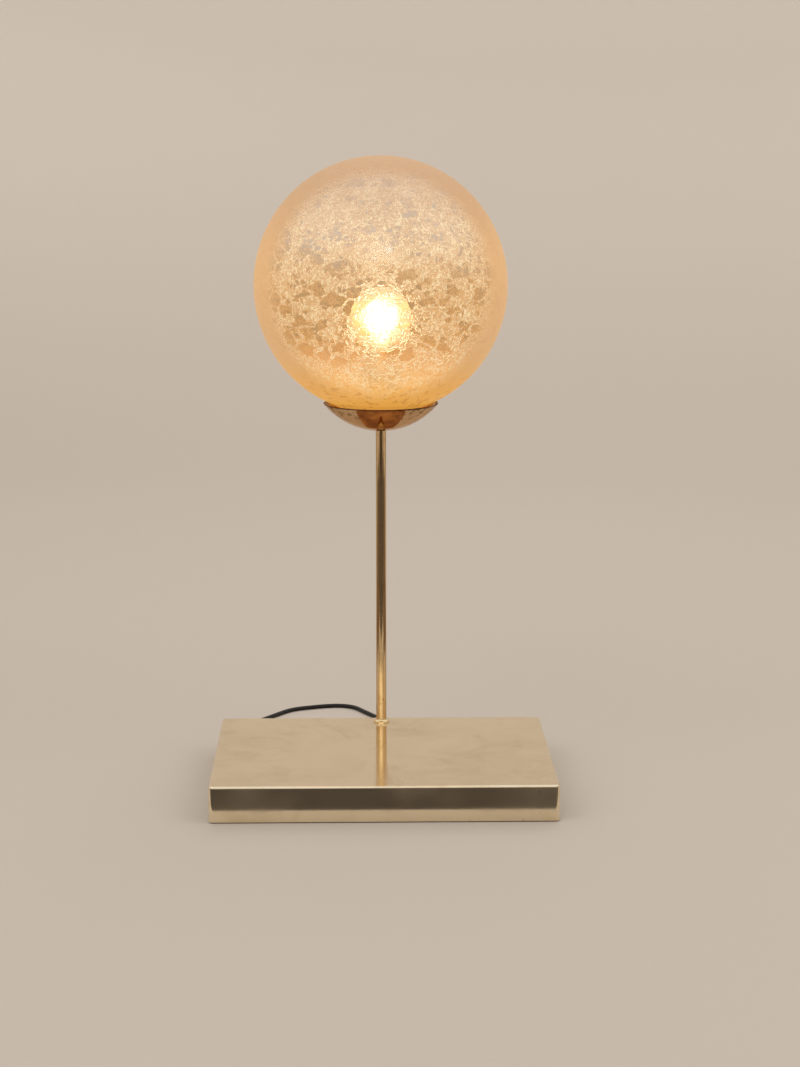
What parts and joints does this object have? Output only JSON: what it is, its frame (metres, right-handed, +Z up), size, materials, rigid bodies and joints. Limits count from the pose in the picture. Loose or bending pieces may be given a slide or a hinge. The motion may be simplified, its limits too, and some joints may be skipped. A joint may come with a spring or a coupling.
{
  "type": "table lamp",
  "caption": "Table lamp: a flat polished brass box base, a thin brass stem near its back edge, a brass bowl and a mottled champagne glass globe lit from inside, with a switched cord.",
  "frame": {"origin": "middle of the underside, on the table", "axes": "+Z up along the stem, -Y towards the front, +X to the right seen from the front"},
  "size_m": [0.325, 0.42, 0.6044],
  "materials": {
    "polished_brass": "mirror polished, lightly tarnished",
    "plain_brass": "machined",
    "bright_steel": "zinc plated",
    "raw_steel": "rolled, oiled",
    "black_lacquer": "satin lacquer",
    "felt": "felt",
    "globe_glass": "blown, champagne tinted, mottled with crushed glass",
    "bulb_glass": "clear",
    "bulb_cap": "rolled thread",
    "bulb_insulator": "black glass",
    "solder": "soldered",
    "tungsten": "drawn wire, lit",
    "porcelain": "glazed",
    "holder_black": "moulded",
    "seat_rubber": "matte",
    "cord_black": "slight sheen",
    "core_brown": "insulated core",
    "clamp_nylon": "moulded",
    "tie_black": "flat band",
    "switch_black": "moulded",
    "nickel": "nickel plated"
  },
  "bodies": {
    "lamp": {"base_cover": "polished_brass", "stem_tube": "polished_brass", "stem_collar": "polished_brass", "cup": "polished_brass", "foot_nipple": "plain_brass", "foot_nut": "plain_brass", "cup_nipple": "plain_brass", "cup_nut": "plain_brass", "cover_posts": "plain_brass", "holder_terminals": "plain_brass", "holder_contact": "plain_brass", "holder_shell": "plain_brass", "switch_contacts": "plain_brass", "foot_washer": "bright_steel", "cup_washer": "bright_steel", "bottom_screws": "bright_steel", "ballast_screws": "bright_steel", "clamp_screws": "bright_steel", "switch_screws": "bright_steel", "switch_pin": "bright_steel", "ballast_plate": "raw_steel", "bottom_plate": "black_lacquer", "base_felt": "felt", "holder_insert": "porcelain", "holder_cap": "holder_black", "holder_sleeve": "holder_black", "globe_seat": "seat_rubber", "cord_lead": "cord_black", "cord_link": "cord_black", "cord_coil": "cord_black", "cord_tail": "cord_black", "cord_inner": "cord_black", "cord_grommet": "cord_black", "stem_wires": "core_brown", "cord_clamp": "clamp_nylon", "coil_tie": "tie_black", "switch_base": "switch_black", "switch_cover": "switch_black", "plug_body": "switch_black", "plug_pins": "nickel"},
    "globe": {"globe": "globe_glass"},
    "bulb_tip": {"bulb_contact": "solder"},
    "bulb": {"bulb_glass": "bulb_glass", "bulb_cap": "bulb_cap", "bulb_insulator": "bulb_insulator", "bulb_stem": "bulb_glass", "bulb_leads": "bright_steel", "bulb_filament": "tungsten"},
    "switch_rocker": {"switch_rocker": "switch_black"}
  },
  "joints": [
    {"name": "globe_lift", "type": "slide", "parent": "lamp", "child": "globe", "axis": [0, 0, 1], "range_m": [0, 0.15]},
    {"name": "bulb_rise", "type": "slide", "parent": "lamp", "child": "bulb_tip", "axis": [0, 0, 1], "range_m": [0, 0.01089]},
    {"name": "bulb_turn", "type": "hinge", "parent": "bulb_tip", "child": "bulb", "pos_m": [0, 0.1065, 0.4], "axis": [0, 0, 1], "range_deg": [0, 1080]},
    {"name": "switch_rock", "type": "hinge", "parent": "lamp", "child": "switch_rocker", "pos_m": [-0.076, 0.13425, 0.0102], "axis": [0, 1, 0], "range_deg": [0, 24]}
  ],
  "couplings": [
    {"joint": "bulb_rise", "follows": "bulb_turn", "m_per_rad": 0.00057757}
  ]
}
